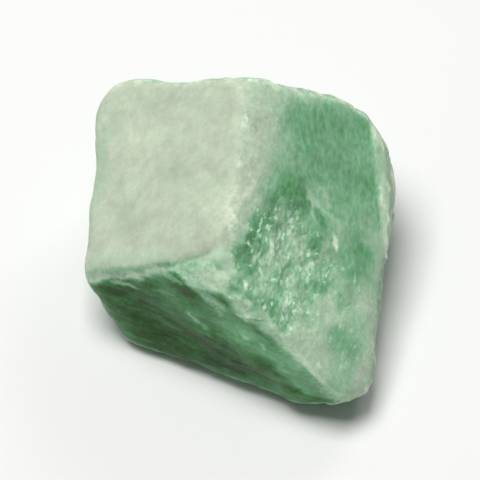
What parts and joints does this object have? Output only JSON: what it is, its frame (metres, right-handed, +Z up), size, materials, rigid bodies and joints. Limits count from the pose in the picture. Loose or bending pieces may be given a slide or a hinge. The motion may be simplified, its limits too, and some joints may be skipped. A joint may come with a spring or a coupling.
{
  "type": "raw green aventurine stone",
  "caption": "Rough, unpolished piece of green aventurine: a blocky broken stone with flat faces, worn edges and ledges, resting on a flat base.",
  "frame": {"origin": "on the level face that the stone rests on, under the middle of its bounding box", "axes": "+Z up from the resting face and along the shortest side of the box; +X to the right and -Y towards a viewer who faces the long front wall"},
  "size_m": [0.0326, 0.035, 0.0256],
  "materials": {
    "green_quartz": "satin, freshly broken, pale grey-green to mid green"
  },
  "bodies": {
    "root": {"aventurine_stone": "green_quartz"}
  },
  "joints": []
}
